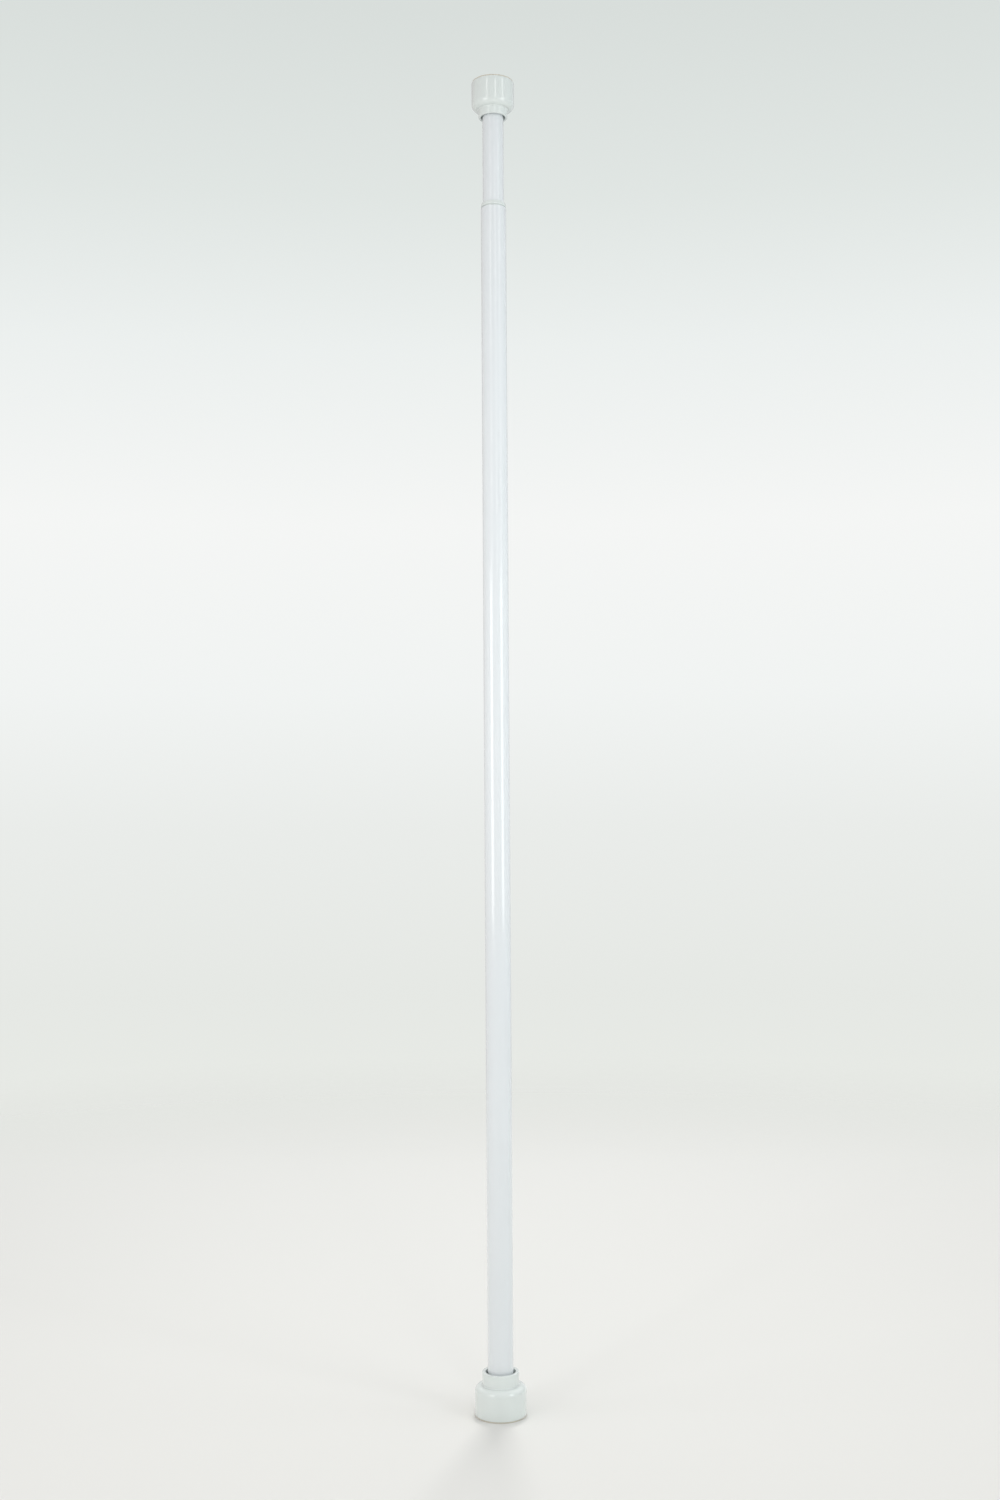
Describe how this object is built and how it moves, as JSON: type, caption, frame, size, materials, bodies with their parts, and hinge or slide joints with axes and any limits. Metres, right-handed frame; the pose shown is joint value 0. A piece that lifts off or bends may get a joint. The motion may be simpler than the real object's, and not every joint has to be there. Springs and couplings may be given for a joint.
{
  "type": "spring tension rod",
  "caption": "Telescoping spring tension rod: twist-lock steel tubes with a moulded wall cup and a soft pad at each end.",
  "frame": {"origin": "centre of the large pad's face, where the rod meets the first wall", "axes": "+Z along the rod from the large pad to the small pad; +X through the eccentric pin of the twist lock in its free position"},
  "size_m": [0.05, 0.05, 1.305],
  "materials": {
    "tube_coat": "smooth gloss white powder coat on steel",
    "cup_plastic": "glossy moulded white",
    "pad_soft": "soft matt cream",
    "nylon_natural": "natural nylon",
    "nylon_black": "black nylon",
    "zinc_steel": "zinc plated",
    "spring_steel": "oiled spring wire"
  },
  "bodies": {
    "outer": {"outer_tube": "tube_coat", "mouth_collar": "cup_plastic", "large_cup": "cup_plastic", "large_pad": "pad_soft", "large_end_plug": "nylon_natural", "large_end_screw": "zinc_steel", "large_end_washer": "zinc_steel"},
    "glide": {"glide_ring": "nylon_natural"},
    "lock": {"lock_core": "nylon_black", "cam_washer": "zinc_steel", "cam_screw": "zinc_steel", "plunger_rod": "zinc_steel", "rod_pin": "zinc_steel", "stop_washer": "zinc_steel", "stop_nut": "zinc_steel", "plunger_spring": "spring_steel"},
    "cam": {"cam_ring": "nylon_natural"},
    "inner": {"inner_tube": "tube_coat", "guide_plug": "nylon_black", "guide_pins": "zinc_steel", "seat_washer": "zinc_steel", "small_cup": "cup_plastic", "small_pad": "pad_soft", "small_end_plug": "nylon_natural", "small_end_screw": "zinc_steel", "small_end_washer": "zinc_steel"}
  },
  "joints": [
    {"name": "length_slide", "type": "slide", "parent": "outer", "child": "glide", "axis": [0, 0, 1], "range_m": [-0.04, 0.895]},
    {"name": "twist_lock", "type": "hinge", "parent": "glide", "child": "lock", "pos_m": [0, 0, 0.114], "axis": [0, 0, 1], "range_deg": [-90, 90]},
    {"name": "cam_turn", "type": "hinge", "parent": "lock", "child": "cam", "pos_m": [0.0005, 0, 0.0974], "axis": [0, 0, 1], "range_deg": [-90, 90]},
    {"name": "spring_slide", "type": "slide", "parent": "lock", "child": "inner", "axis": [0, 0, 1], "range_m": [-0.045, 0], "stiffness_N_per_m": 1700, "springref_m": 0.015, "deforming": ["plunger_spring"]}
  ],
  "couplings": [
    {"joint": "cam_turn", "follows": "twist_lock", "ratio": -1}
  ]
}
